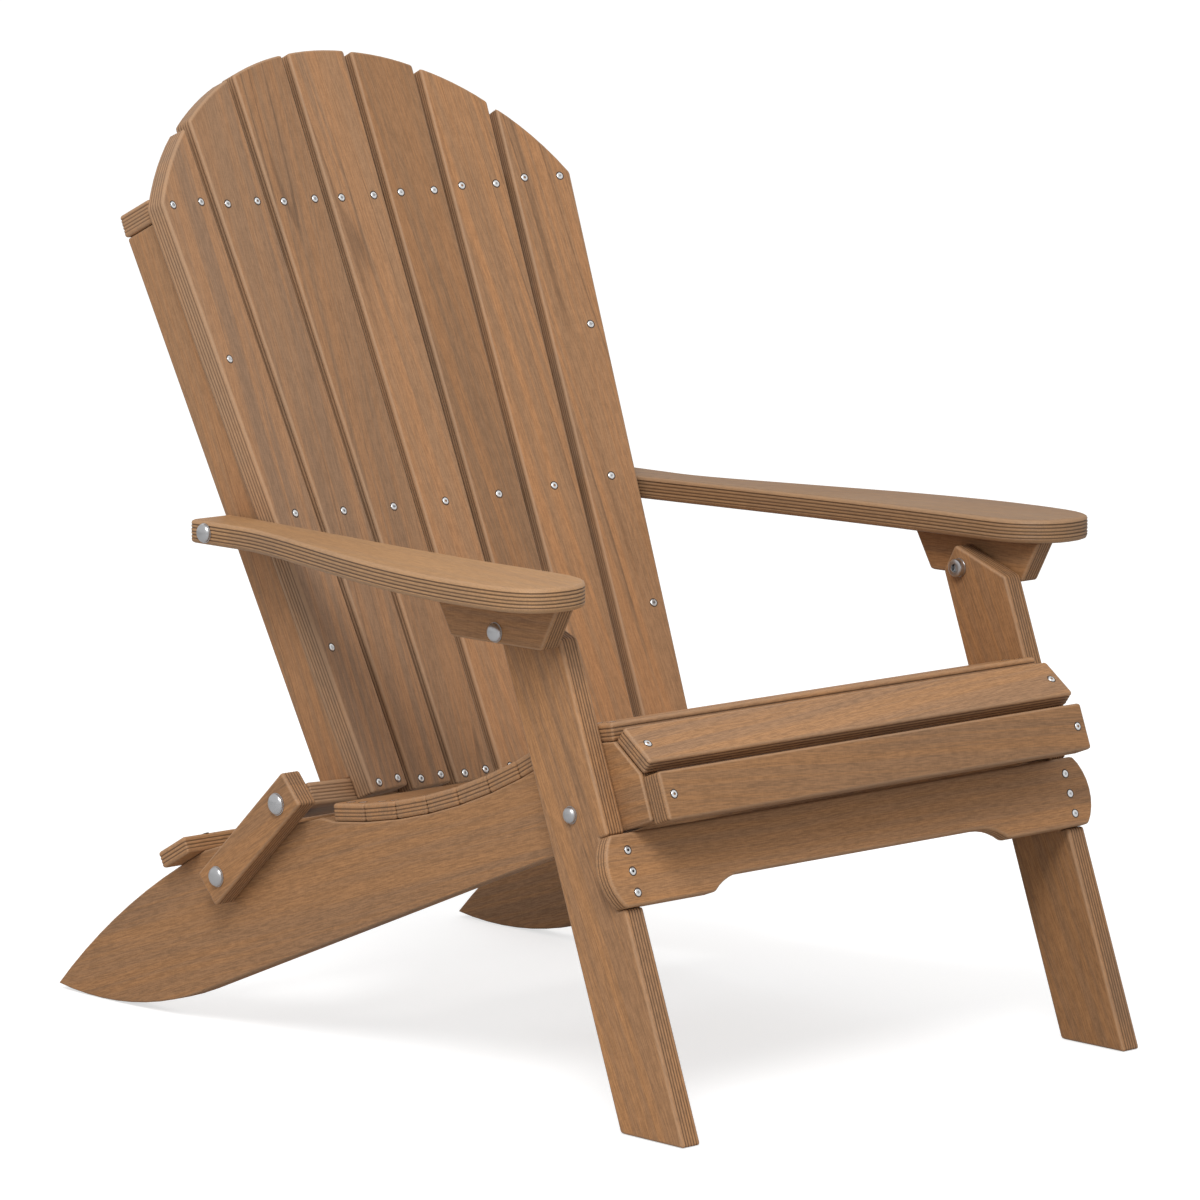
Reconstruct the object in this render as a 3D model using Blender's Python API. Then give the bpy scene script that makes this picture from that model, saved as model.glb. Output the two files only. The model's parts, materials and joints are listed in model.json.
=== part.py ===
# Folding adirondack garden chair, built from boards, bolts and screws.
# Metres, +Z up, the sitter looks along -Y.  Side-view places are given as (y, z), with y
# measured rearwards from the front corner of the front feet and z up from the floor.
import math

import bmesh
import bpy
from mathutils import Matrix, Vector
from mathutils.geometry import interpolate_bezier

# Driving dimensions ---------------------------------------------------------------------
FRONT_FOOT = -0.4832          # world y of the front feet, which centres the chair on y = 0
GAP = 0.0003                  # between pieces that touch
THICK = 0.024                 # the heavy boards
THIN = 0.018                  # the seat boards
EDGE_ROUND = 0.003            # rounded board edges

LEG_OUT = 0.315               # outer faces of the front legs
STRINGER_OUT = 0.2906         # outer faces of the stringers
BLOCK_OUT = 0.3394            # outer faces of the arm blocks

# Pivots, as (y, z)
LEG_PIVOT = (0.1528, 0.2950)
ARM_FRONT_PIVOT = (0.2310, 0.4624)
ARM_PIVOT = (0.7025, 0.5058)
LINK_TOP_PIVOT = (0.5815, 0.2484)
LINK_LOW_PIVOT = (0.6755, 0.1622)

# Front legs
LEG_WIDTH = 0.080
LEG_TILT = math.radians(20.2)

# Stringers
STRINGER_SLOPE = 0.4000       # mean fall of the underside
STRINGER_BOW = 0.0028         # its rise above a straight line half way along
TAIL_LOW = 0.8993             # where the curved tail rests on the floor
TAIL_UNDER_RADIUS = 0.4515
TAIL_END = 0.9665
TAIL_TOP_RADIUS = 0.882

# Seat
SEAT_CENTRE = (0.5982, 1.0047)
SEAT_RADIUS = 0.7728
SEAT_START = 0.5248
SEAT_PITCH = 0.0476
SEAT_BOARD = 0.0465
SEAT_HALF = 0.2900
DISHED_SLATS = 7
CREST_TILTS = (26.0, 10.7)    # the two slats behind the nosing, in degrees
NOSE_TILT = math.radians(36.0)
FASCIA_TILT = math.radians(20.5)
FASCIA_TOP = (0.0612, 0.3452)
FASCIA_HEIGHT = 0.0470
FASCIA_HALF = 0.2885

# Apron under the seat front
APRON_PROUD = 0.0071
APRON_LOW = 0.2300
APRON_HIGH = 0.2995
APRON_HALF = 0.3166
APRON_BULGE = 0.0137
APRON_ARCH = 0.0140
APRON_ARCH_HALF = 0.2014

# Rear cross board
CROSS_TILT = math.radians(28.5)
CROSS_REAR = (0.7670, 0.1563)
CROSS_HALF = 0.3103

# Links
LINK_WIDTH = 0.040
LINK_TOP_END = 0.0267
LINK_LOW_END = 0.0240

# Back: places on it are (x, s, n), s up along the slats from the top screw row and n forward
BACK_ORIGIN = (0.8187, 0.8178)
RECLINE = math.radians(23.9)
SLAT_PITCH = 0.0809
SLAT_FAN = 0.0257             # how much a slat's middle moves out per metre of height
SLAT_HALF = 0.0360
SLAT_TAPER = 0.0129
SLAT_SAG = 0.00219            # forward set of the slats beside the middle one
SLAT_CANT = math.radians(3.25)
SLAT_LOW = -0.6279
BACK_ARC_CENTRE = -0.1575
BACK_ARC_RADIUS = 0.3205
RAIL_REAR = -0.0509
RAIL_SEATS = {"upper_back_rail": 0.002, "mid_back_rail": -0.334, "lower_back_rail": -0.6163}
UPPER_RAIL_HALF = 0.2750
MID_RAIL_HALF = 0.2200
LOWER_RAIL_HALF = 0.2904
LOWER_RAIL_REACH = 0.012
STILE_FRONT = -0.0048
STILE_MIDDLE = 0.2615
STILE_LEAN = 0.084

# Arms
ARM_LOW = 0.4938
ARM_REAR = 0.7260
ARM_INNER = 0.2528            # inner edge beside the rear pivot
ARM_INNER_FRONT = 0.2885
ARM_OUTER = 0.3045
ARM_WIDEST = 0.3948
ARM_TIP = 0.1255

# Fasteners
BOLT_RADIUS = 0.0040
HOLE_RADIUS = 0.0043
SCREW_RADIUS = 0.0022
SCREW_HEAD = 0.0042
SCREW_LENGTH = 0.0450
ROUND_STEPS = 20


def clear_scene():
    for old in list(bpy.context.scene.objects):
        bpy.data.objects.remove(old, do_unlink=True)


def make_material(name, colour, roughness, metallic):
    material = bpy.data.materials.new(name)
    material.use_nodes = True
    shader = material.node_tree.nodes["Principled BSDF"]
    shader.inputs["Base Color"].default_value = (*colour, 1.0)
    shader.inputs["Roughness"].default_value = roughness
    shader.inputs["Metallic"].default_value = metallic
    return material


# Frames: each turns a drawing's own x, y and thickness axes into the chair's ---------------
def side_frame(x):
    """Drawing in (y, z), thickness towards +X, starting at x."""
    turn = Matrix(((0, 0, 1), (1, 0, 0), (0, 1, 0)))
    return Matrix.Translation((x, 0, 0)) @ turn.to_4x4()


def cross_frame(corner, tilt):
    """Drawing in (x, forward), thickness upwards, on a board that falls rearwards by tilt."""
    forward = Vector((0, -math.cos(tilt), math.sin(tilt)))
    up = Vector((0, math.sin(tilt), math.cos(tilt)))
    turn = Matrix((Vector((-1, 0, 0)), forward, up)).transposed()
    return Matrix.Translation((0, *corner)) @ turn.to_4x4()


def back_frame(x=0.0, s=0.0, n=0.0):
    """Drawing in (x, s), thickness forwards."""
    along = Vector((0, math.sin(RECLINE), math.cos(RECLINE)))
    front = Vector((0, -math.cos(RECLINE), math.sin(RECLINE)))
    turn = Matrix((Vector((1, 0, 0)), along, front)).transposed()
    return (Matrix.Translation((0, *BACK_ORIGIN)) @ turn.to_4x4()
            @ Matrix.Translation((x, s, n)))


# Outlines -------------------------------------------------------------------------------
def arc(centre, radius, start, end, steps):
    """Points on a circle, from the start angle to the end angle, both included."""
    angles = [start + (end - start) * i / steps for i in range(steps + 1)]
    return [(centre[0] + radius * math.cos(a), centre[1] + radius * math.sin(a)) for a in angles]


def bezier(start, start_pull, end_pull, end, steps):
    """Points on one cubic curve, both ends included."""
    corners = [Vector((*p, 0.0)) for p in (start, start_pull, end_pull, end)]
    return [(p.x, p.y) for p in interpolate_bezier(*corners, steps + 1)]


def along_leg(height, forward):
    """A place on the front legs: height along them, forward from their front edge."""
    c, s = math.cos(LEG_TILT), math.sin(LEG_TILT)
    return (height * s - forward * c, height * c + forward * s)


def underside_start():
    """Where the stringers' underside leaves the curved tail, as (y, z)."""
    slope = math.atan(STRINGER_SLOPE)
    return (TAIL_LOW - TAIL_UNDER_RADIUS * math.sin(slope),
            TAIL_UNDER_RADIUS * (1 - math.cos(slope)))


def bowed(start, end, steps):
    """Points strictly between two ends on a curve that rises a little above their chord."""
    points = []
    for i in range(1, steps):
        t = i / steps
        lift = STRINGER_BOW * 4 * t * (1 - t)
        points.append((start[0] + (end[0] - start[0]) * t,
                       start[1] + (end[1] - start[1]) * t + lift))
    return points


def seat_seams():
    """The seams between the seat slats on the stringers' top edge, from the rear."""
    cy, cz = SEAT_CENTRE
    angle = math.asin((cy - SEAT_START) / SEAT_RADIUS)
    step = 2 * math.asin(SEAT_PITCH / 2 / SEAT_RADIUS)
    seams = []
    for i in range(DISHED_SLATS + 1):
        a = angle + step * i
        seams.append((cy - SEAT_RADIUS * math.sin(a), cz - SEAT_RADIUS * math.cos(a)))
    for tilt in CREST_TILTS:
        y, z = seams[-1]
        rise = math.radians(tilt)
        seams.append((y - SEAT_PITCH * math.cos(rise), z + SEAT_PITCH * math.sin(rise)))
    return seams


def nose_rear():
    """The nosing's lower rear corner, just in front of the last seam."""
    y, z = seat_seams()[-1]
    return (y - 0.0010, z + 0.0004)


def meet(start, angle, other_start, other_angle):
    """Where two lines in the (y, z) drawing cross; angles are measured up from +y."""
    ax, ay = math.cos(angle), math.sin(angle)
    bx, by = math.cos(other_angle), math.sin(other_angle)
    dx, dy = other_start[0] - start[0], other_start[1] - start[1]
    t = (dx * by - dy * bx) / (ax * by - ay * bx)
    return (start[0] + t * ax, start[1] + t * ay)


# Solids ---------------------------------------------------------------------------------
def outline_mesh(name, outline, thickness):
    """A flat outline pulled out along its own z."""
    bm = bmesh.new()
    face = bm.faces.new([bm.verts.new((x, y, 0.0)) for x, y in outline])
    pulled = bmesh.ops.extrude_face_region(bm, geom=[face])
    moved = [v for v in pulled["geom"] if isinstance(v, bmesh.types.BMVert)]
    bmesh.ops.translate(bm, vec=(0, 0, thickness), verts=moved)
    bmesh.ops.recalc_face_normals(bm, faces=bm.faces)
    mesh = bpy.data.meshes.new(name)
    bm.to_mesh(mesh)
    bm.free()
    return mesh


def turned_mesh(name, profile, steps=ROUND_STEPS):
    """A profile of (distance along, radius) turned round the local z axis."""
    bm = bmesh.new()
    verts = [bm.verts.new((radius, 0.0, along)) for along, radius in profile]
    edges = [bm.edges.new(pair) for pair in zip(verts, verts[1:])]
    bmesh.ops.spin(bm, geom=verts + edges, cent=(0, 0, 0), axis=(0, 0, 1),
                   angle=math.tau, steps=steps, use_merge=True)
    bmesh.ops.remove_doubles(bm, verts=bm.verts, dist=0.00001)
    bmesh.ops.recalc_face_normals(bm, faces=bm.faces)
    mesh = bpy.data.meshes.new(name)
    bm.to_mesh(mesh)
    bm.free()
    mesh.shade_smooth()
    mesh.set_sharp_from_angle(angle=math.radians(40))
    return mesh


def place(obj, frame, pivot):
    """Stand an object in the chair and hang it on its pivot empty."""
    obj.matrix_basis = frame
    obj.parent = pivot
    obj.matrix_parent_inverse = Matrix.Translation(-PIVOT_PLACES[pivot.name])
    bpy.context.scene.collection.objects.link(obj)
    return obj


def board(name, outline, thickness, frame, pivot, material, rounding=EDGE_ROUND):
    mesh = outline_mesh(name, outline, thickness)
    mesh.materials.append(material)
    obj = place(bpy.data.objects.new(name, mesh), frame, pivot)
    bevel = obj.modifiers.new("rounded_edges", "BEVEL")
    bevel.width = rounding
    bevel.segments = 2
    bevel.limit_method = "ANGLE"
    bevel.angle_limit = math.radians(35)
    return obj


def turned(name, profile, frame, pivot, material, steps=ROUND_STEPS):
    mesh = turned_mesh(name, profile, steps)
    mesh.materials.append(material)
    return place(bpy.data.objects.new(name, mesh), frame, pivot)


def drill(obj, frame, radius, depth, pivot, steps=16):
    """Bore a hole along a frame's z axis."""
    name = f"{obj.name}_bore_{len(obj.modifiers)}"
    mesh = turned_mesh(name, [(0, 0), (0, radius), (depth, radius), (depth, 0)], steps)
    cutter = place(bpy.data.objects.new(name, mesh), frame, pivot)
    cutter.hide_render = True
    cutter.display_type = "WIRE"
    cut = obj.modifiers.new(name, "BOOLEAN")
    cut.operation = "DIFFERENCE"
    cut.solver = "EXACT"
    cut.object = cutter


def sideways(x, pivot_place, sign):
    """A frame whose z axis points inwards from x, for the chair's side given by sign."""
    turn = Matrix.Rotation(-sign * math.pi / 2, 4, "Y")
    return Matrix.Translation((sign * x, *pivot_place)) @ turn


def bolt_profile(length, head_radius, head_height):
    """A domed head outside the first face, and a round shank of the given length."""
    dome = [(-head_height * math.cos(a), head_radius * math.sin(a))
            for a in [math.pi / 2 * i / 4 for i in range(5)]]
    return dome + [(0, BOLT_RADIUS), (length, BOLT_RADIUS), (length, 0)]


def nut_profile(radius, height):
    """A round nut with the bolt's end standing in it."""
    return [(0, HOLE_RADIUS), (0, radius), (height * 0.6, radius), (height, radius * 0.78),
            (height, HOLE_RADIUS), (0, HOLE_RADIUS)]


def sleeve_profile(radius, height, sleeve):
    """A flanged nut whose sleeve fills the bore, with a socket in its outer end."""
    return [(-sleeve, 0), (-sleeve, BOLT_RADIUS), (0, BOLT_RADIUS), (0, radius),
            (height * 0.6, radius), (height, radius * 0.78), (height, BOLT_RADIUS),
            (height * 0.3, BOLT_RADIUS), (height * 0.3, 0)]


# Bodies ---------------------------------------------------------------------------------
PIVOT_PLACES = {
    "seat_datum": Vector((0, 0, 0)),
    "leg_hinge": Vector((0, *LEG_PIVOT)),
    "link_hinge": Vector((0, *LINK_LOW_PIVOT)),
    "back_hinge": Vector((0, *LINK_TOP_PIVOT)),
    "arm_hinge": Vector((0, *ARM_FRONT_PIVOT)),
}
PIVOT_PARENTS = {
    "leg_hinge": "seat_datum",
    "link_hinge": "seat_datum",
    "back_hinge": "link_hinge",
    "arm_hinge": "leg_hinge",
}
SIDES = (("right", -1), ("left", 1))


def make_pivots():
    """One empty on each hinge axis, nested as the pieces move."""
    pivots = {}
    for name, spot in PIVOT_PLACES.items():
        empty = bpy.data.objects.new(name, None)
        empty.empty_display_size = 0.05
        parent = PIVOT_PARENTS.get(name)
        if parent:
            empty.parent = pivots[parent]
            empty.location = spot - PIVOT_PLACES[parent]
        else:
            empty.location = (0, FRONT_FOOT, 0)
        bpy.context.scene.collection.objects.link(empty)
        pivots[name] = empty
    return pivots


def stringer_outline():
    seams = seat_seams()
    slope = math.atan(STRINGER_SLOPE)
    behind = THICK + GAP
    front = (FASCIA_TOP[0] + behind * math.cos(FASCIA_TILT),
             FASCIA_TOP[1] - behind * math.sin(FASCIA_TILT))
    upwards = math.pi / 2 - FASCIA_TILT
    front_low = meet(front, upwards, underside_start(), -slope)
    front_high = meet(front, upwards, (seams[-1][0], seams[-1][1] - GAP), NOSE_TILT)
    under_end = -math.acos((TAIL_END - TAIL_LOW) / TAIL_UNDER_RADIUS)
    tail_under = arc((TAIL_LOW, TAIL_UNDER_RADIUS), TAIL_UNDER_RADIUS,
                     -math.pi / 2 - slope, under_end, 10)
    rear = Vector((CROSS_REAR[0], CROSS_REAR[1] - GAP))
    tip = Vector(tail_under[-1])
    chord = rear - tip
    rise = math.sqrt(TAIL_TOP_RADIUS ** 2 - (chord.length / 2) ** 2)
    centre = (rear + tip) / 2 + Vector((-chord.y, chord.x)).normalized() * rise
    start = math.atan2(tip.y - centre.y, tip.x - centre.x)
    end = math.atan2(rear.y - centre.y, rear.x - centre.x)
    tail_top = arc(centre, TAIL_TOP_RADIUS, start, end, 8)
    flat = (rear.x - SEAT_BOARD * math.cos(CROSS_TILT), rear.y + SEAT_BOARD * math.sin(CROSS_TILT))
    crest = (seams[0][0] + 0.0190, seams[0][1] + 0.0010)
    shoulder = (crest[0] + 0.0260, crest[1] - 0.0075)
    seat = [(y, z - GAP) for y, z in seams]
    under = bowed(front_low, tail_under[0], 6)
    return ([front_low] + under + tail_under + tail_top[1:] + [flat, shoulder, crest] + seat
            + [front_high])


def make_seat(pivots, wood, steel):
    datum = pivots["seat_datum"]
    for side, sign in SIDES:
        x = -STRINGER_OUT if sign < 0 else STRINGER_OUT - THICK
        stringer = board(f"{side}_stringer", stringer_outline(), THICK, side_frame(x),
                         datum, wood, rounding=0.002)
        for spot in (LEG_PIVOT, LINK_LOW_PIVOT):
            drill(stringer, sideways(STRINGER_OUT + 0.01, spot, sign), HOLE_RADIUS, 0.05, datum)

    seams = seat_seams()
    for i, (rear, front) in enumerate(zip(seams, seams[1:])):
        tilt = math.atan2(front[1] - rear[1], rear[0] - front[0])
        slack = (SEAT_PITCH - SEAT_BOARD) / 2
        outline = rectangle(SEAT_HALF, slack, slack + SEAT_BOARD)
        board(f"seat_slat_{i + 1}", outline, THIN, cross_frame(rear, tilt), datum, wood)

    outline = rectangle(SEAT_HALF - 0.001, 0, SEAT_BOARD)
    board("seat_nosing", outline, THIN, cross_frame(nose_rear(), -NOSE_TILT), datum, wood)

    top = FASCIA_TOP
    low = (top[0] - FASCIA_HEIGHT * math.sin(FASCIA_TILT),
           top[1] - FASCIA_HEIGHT * math.cos(FASCIA_TILT))
    upright = cross_frame(low, math.pi / 2 + FASCIA_TILT)
    board("seat_fascia", rectangle(FASCIA_HALF, 0, FASCIA_HEIGHT), THICK, upright, datum, wood)

    board("rear_cross_board", rectangle(CROSS_HALF, 0, SEAT_BOARD), THIN,
          cross_frame(CROSS_REAR, CROSS_TILT), datum, wood)


def rectangle(half, near, far):
    return [(-half, near), (half, near), (half, far), (-half, far)]


def leg_outline():
    notch = THIN - APRON_PROUD + GAP
    rear = LEG_WIDTH / math.cos(LEG_TILT)
    lean = math.tan(LEG_TILT)
    return [(0, 0), (rear, 0), (rear + 0.4574 * lean, 0.4574), (0.2382, 0.4846),
            (0.4593 * lean, 0.4593), along_leg(APRON_HIGH + GAP, 0),
            along_leg(APRON_HIGH + GAP, -notch), along_leg(APRON_LOW - GAP, -notch),
            along_leg(APRON_LOW - GAP, 0)]


def apron_outline():
    """Rounded ends and a shallow arch underneath, in (x, height along the legs)."""
    height = APRON_HIGH - APRON_LOW
    radius = (height ** 2 / 4 + APRON_BULGE ** 2) / (2 * APRON_BULGE)
    swing = math.asin(height / 2 / radius)
    middle = APRON_LOW + height / 2
    reach = APRON_HALF + APRON_BULGE - radius
    right_end = arc((reach, middle), radius, -swing, swing, 8)
    arch_radius = 0.0607
    turn = math.acos(1 - APRON_ARCH / arch_radius)
    flat = APRON_ARCH_HALF - arch_radius * math.sin(turn)
    hub = (flat, APRON_LOW + APRON_ARCH - arch_radius)
    right_arch = arc(hub, arch_radius, math.pi / 2, math.pi / 2 - turn, 5)
    right = right_arch + right_end
    return right + [(-x, y) for x, y in reversed(right)]


def make_legs(pivots, wood, steel):
    hinge = pivots["leg_hinge"]
    forward = Vector((0, -math.cos(LEG_TILT), math.sin(LEG_TILT)))
    up = Vector((0, math.sin(LEG_TILT), math.cos(LEG_TILT)))
    turn = Matrix((Vector((1, 0, 0)), up, forward)).transposed().to_4x4()
    front = Matrix.Translation(forward * (APRON_PROUD - THIN)) @ turn
    apron = board("apron", apron_outline(), THIN, front, hinge, wood)
    for side, sign in SIDES:
        x = -LEG_OUT if sign < 0 else LEG_OUT - THICK
        leg = board(f"{side}_front_leg", leg_outline(), THICK, side_frame(x), hinge, wood)
        for spot in (LEG_PIVOT, ARM_FRONT_PIVOT):
            drill(leg, sideways(LEG_OUT + 0.01, spot, sign), HOLE_RADIUS, 0.05, hinge)
        for i, height in enumerate((0.2418, 0.2622, 0.2826)):
            spot = Matrix.Translation(Vector((sign * 0.2998, 0, 0)) + up * height
                                      + forward * APRON_PROUD)
            inward = spot @ turn @ Matrix.Rotation(math.pi, 4, "X")
            drill(apron, inward @ Matrix.Translation((0, 0, -0.01)), SCREW_RADIUS + GAP,
                  0.05, hinge, 10)
            drill(leg, inward, SCREW_RADIUS + GAP, SCREW_LENGTH + 0.002, hinge, 10)
            profile = [(-0.0022, 0), (-0.0017, SCREW_HEAD * 0.7), (-GAP, SCREW_HEAD),
                       (-GAP, SCREW_RADIUS), (SCREW_LENGTH, SCREW_RADIUS), (SCREW_LENGTH, 0)]
            turned(f"{side}_apron_screw_{i + 1}", profile, inward, hinge, steel, 10)


def link_outline():
    top = Vector(LINK_TOP_PIVOT)
    low = Vector(LINK_LOW_PIVOT)
    down = (low - top).normalized()
    across = Vector((-down.y, down.x)) * LINK_WIDTH / 2
    start = top - down * LINK_TOP_END
    end = low + down * LINK_LOW_END
    return [tuple(p) for p in (start - across, end - across, end + across, start + across)]


def make_links(pivots, wood, steel):
    hinge = pivots["link_hinge"]
    for side, sign in SIDES:
        x = -LEG_OUT if sign < 0 else LEG_OUT - THICK
        link = board(f"{side}_link", link_outline(), THICK, side_frame(x), hinge, wood)
        for spot in (LINK_TOP_PIVOT, LINK_LOW_PIVOT):
            drill(link, sideways(LEG_OUT + 0.01, spot, sign), HOLE_RADIUS, 0.05, hinge)


def slat_outline(number):
    """One back slat in its own plane: tapered, with its top on the common arc."""
    fan = math.atan(SLAT_FAN * number)
    cant = math.cos(SLAT_CANT * number)

    def top(u):
        px = number * SLAT_PITCH + u * cant * math.cos(fan)
        ps = -u * cant * math.sin(fan) - BACK_ARC_CENTRE
        b = px * math.sin(fan) + ps * math.cos(fan)
        c = px * px + ps * ps - BACK_ARC_RADIUS ** 2
        return -b + math.sqrt(b * b - c)

    def half(v):
        return SLAT_HALF + SLAT_TAPER * v

    low = half(SLAT_LOW)
    high_left = half(top(-SLAT_HALF))
    high_right = half(top(SLAT_HALF))
    steps = 6
    across = [high_right - (high_left + high_right) * i / steps for i in range(steps + 1)]
    return [(-low, SLAT_LOW), (low, SLAT_LOW)] + [(u, top(u)) for u in across]


def slat_rear(number, x, s):
    """How far forward a slat's rear face lies at (x, s)."""
    fan = math.atan(SLAT_FAN * number)
    cant = SLAT_CANT * number
    across = (x - number * SLAT_PITCH) * math.cos(fan) - s * math.sin(fan)
    return SLAT_SAG * number ** 2 + across * math.tan(cant) - THICK / math.cos(cant)


def rail_outline(half, s, reach):
    """A rail from above, in (x, n): straight behind, with a face for each slat in front."""
    front = []
    for number in range(3, -4, -1):
        middle = number * (SLAT_PITCH + SLAT_FAN * s)
        for side in (1, -1):
            x = middle + side * (SLAT_HALF + SLAT_TAPER * s)
            x = max(-half, min(half, x))
            n = min(slat_rear(number, x, s - THICK / 2), slat_rear(number, x, s + THICK / 2))
            front.append((x, n - GAP))
    if reach:
        front = [(half, reach)] + front + [(-half, reach)]
    return [(-half, RAIL_REAR), (half, RAIL_REAR)] + front


def make_back(pivots, wood, steel):
    hinge = pivots["back_hinge"]
    for number in range(-3, 4):
        frame = (back_frame(number * SLAT_PITCH, 0, SLAT_SAG * number ** 2)
                 @ Matrix.Rotation(-math.atan(SLAT_FAN * number), 4, "Z")
                 @ Matrix.Rotation(-SLAT_CANT * number, 4, "Y")
                 @ Matrix.Translation((0, 0, -THICK)))
        board(f"back_slat_{number + 4}", slat_outline(number), THICK, frame, hinge, wood)

    halves = {"upper_back_rail": UPPER_RAIL_HALF, "mid_back_rail": MID_RAIL_HALF,
              "lower_back_rail": LOWER_RAIL_HALF}
    lay_flat = Matrix.Rotation(math.pi / 2, 4, "X")
    rails = {}
    for name, s in RAIL_SEATS.items():
        frame = back_frame(0, s + THICK / 2, 0) @ lay_flat
        reach = LOWER_RAIL_REACH if name == "lower_back_rail" else None
        outline = rail_outline(halves[name], s, reach)
        rails[name] = board(name, outline, THICK, frame, hinge, wood)

    low = RAIL_SEATS["lower_back_rail"] + THICK / 2 + GAP
    high = RAIL_SEATS["upper_back_rail"] - THICK / 2 - GAP
    half = THICK / 2 * math.sqrt(1 + STILE_LEAN ** 2)
    for side, sign in SIDES:
        outline = [(sign * (STILE_MIDDLE + STILE_LEAN * end + edge), end)
                   for end, edge in ((low, -half), (low, half), (high, half), (high, -half))]
        stile = board(f"{side}_back_stile", outline, STILE_FRONT - RAIL_REAR,
                      back_frame(0, 0, RAIL_REAR), hinge, wood)
        drill(stile, sideways(0.30, ARM_PIVOT, sign), HOLE_RADIUS, 0.12, hinge)
        drill(rails["mid_back_rail"], sideways(0.30, ARM_PIVOT, sign), HOLE_RADIUS, 0.125, hinge)
        drill(rails["lower_back_rail"], sideways(0.30, LINK_TOP_PIVOT, sign), HOLE_RADIUS,
              0.068, hinge)


def arm_outline(sign):
    """The arm from above, in (x, y): narrow at the rear, swelling to a round front."""
    swell = bezier((ARM_OUTER, 0.650), (ARM_OUTER, 0.572), (ARM_WIDEST, 0.378),
                   (ARM_WIDEST, 0.217), 14)
    outer_front = bezier((ARM_WIDEST, 0.217), (ARM_WIDEST, 0.153), (0.388, ARM_TIP),
                         (0.343, ARM_TIP), 8)
    inner_front = bezier((0.343, ARM_TIP), (0.314, ARM_TIP), (ARM_INNER_FRONT, 0.152),
                         (ARM_INNER_FRONT, 0.190), 7)
    inner_edge = bezier((ARM_INNER_FRONT, 0.190), (ARM_INNER_FRONT, 0.420), (0.260, 0.570),
                        (ARM_INNER, 0.690), 10)
    points = ([(ARM_OUTER, ARM_REAR)] + swell + outer_front[1:] + inner_front[1:]
              + inner_edge[1:] + [(ARM_INNER, ARM_REAR)])
    return [(sign * x, y) for x, y in points]


def block_outline():
    top = ARM_LOW - GAP
    return [(0.3195, top), (0.2952, 0.4515), (0.1685, 0.4515), (0.1454, top)]


def make_arms(pivots, wood, steel):
    hinge = pivots["arm_hinge"]
    for side, sign in SIDES:
        arm = board(f"{side}_arm", arm_outline(sign), THICK, Matrix.Translation((0, 0, ARM_LOW)),
                    hinge, wood, rounding=0.004)
        drill(arm, sideways(0.32, ARM_PIVOT, sign), HOLE_RADIUS, 0.09, hinge)
        x = -BLOCK_OUT if sign < 0 else BLOCK_OUT - THICK
        block = board(f"{side}_arm_block", block_outline(), THICK, side_frame(x), hinge, wood)
        drill(block, sideways(BLOCK_OUT + 0.01, ARM_FRONT_PIVOT, sign), HOLE_RADIUS, 0.05, hinge)


def make_fasteners(pivots, steel):
    """Bolts and nuts; each hangs on the body it is fixed to."""
    datum, links = pivots["seat_datum"], pivots["link_hinge"]
    back, arms = pivots["back_hinge"], pivots["arm_hinge"]
    rows = (("leg_pivot", LEG_PIVOT, LEG_OUT, STRINGER_OUT - THICK, 0.0082, datum),
            ("link_pivot", LINK_LOW_PIVOT, LEG_OUT, STRINGER_OUT - THICK, 0.0102, datum),
            ("arm_pivot", ARM_FRONT_PIVOT, BLOCK_OUT, LEG_OUT - THICK, 0.0092, arms))
    for side, sign in SIDES:
        for name, spot, outer, inner, radius, body in rows:
            length = outer - inner + 0.005
            turned(f"{side}_{name}_bolt", bolt_profile(length, radius, 0.0062),
                   sideways(outer + GAP, spot, sign), body, steel)
            turned(f"{side}_{name}_nut", nut_profile(0.0092, 0.0075),
                   sideways(inner - GAP, spot, sign), body, steel)
        turned(f"{side}_rail_bolt", bolt_profile(0.080, 0.0108, 0.0062),
               sideways(LEG_OUT + GAP, LINK_TOP_PIVOT, sign), links, steel)
        turned(f"{side}_arm_rear_bolt", bolt_profile(ARM_OUTER - ARM_INNER, 0.0096, 0.0062),
               sideways(ARM_OUTER + GAP, ARM_PIVOT, sign), arms, steel)
        insert = [(0, 0), (0, 0.0085), (0.0018, 0.0085), (0.0018, BOLT_RADIUS),
                  (0.0440, BOLT_RADIUS), (0.0440, 0)]
        turned(f"{side}_arm_rear_insert", insert, sideways(0.2492, ARM_PIVOT, sign), back, steel)


def main():
    clear_scene()
    wood = make_material("wood_grain_board", (0.36, 0.20, 0.11), 0.55, 0.0)
    steel = make_material("stainless_steel", (0.62, 0.62, 0.63), 0.28, 1.0)
    pivots = make_pivots()
    make_seat(pivots, wood, steel)
    make_legs(pivots, wood, steel)
    make_links(pivots, wood, steel)
    make_back(pivots, wood, steel)
    make_arms(pivots, wood, steel)
    make_fasteners(pivots, steel)


main()
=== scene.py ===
import json
import math

import bmesh
import bpy
from mathutils import Matrix, Vector
from mathutils.bvhtree import BVHTree


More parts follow.
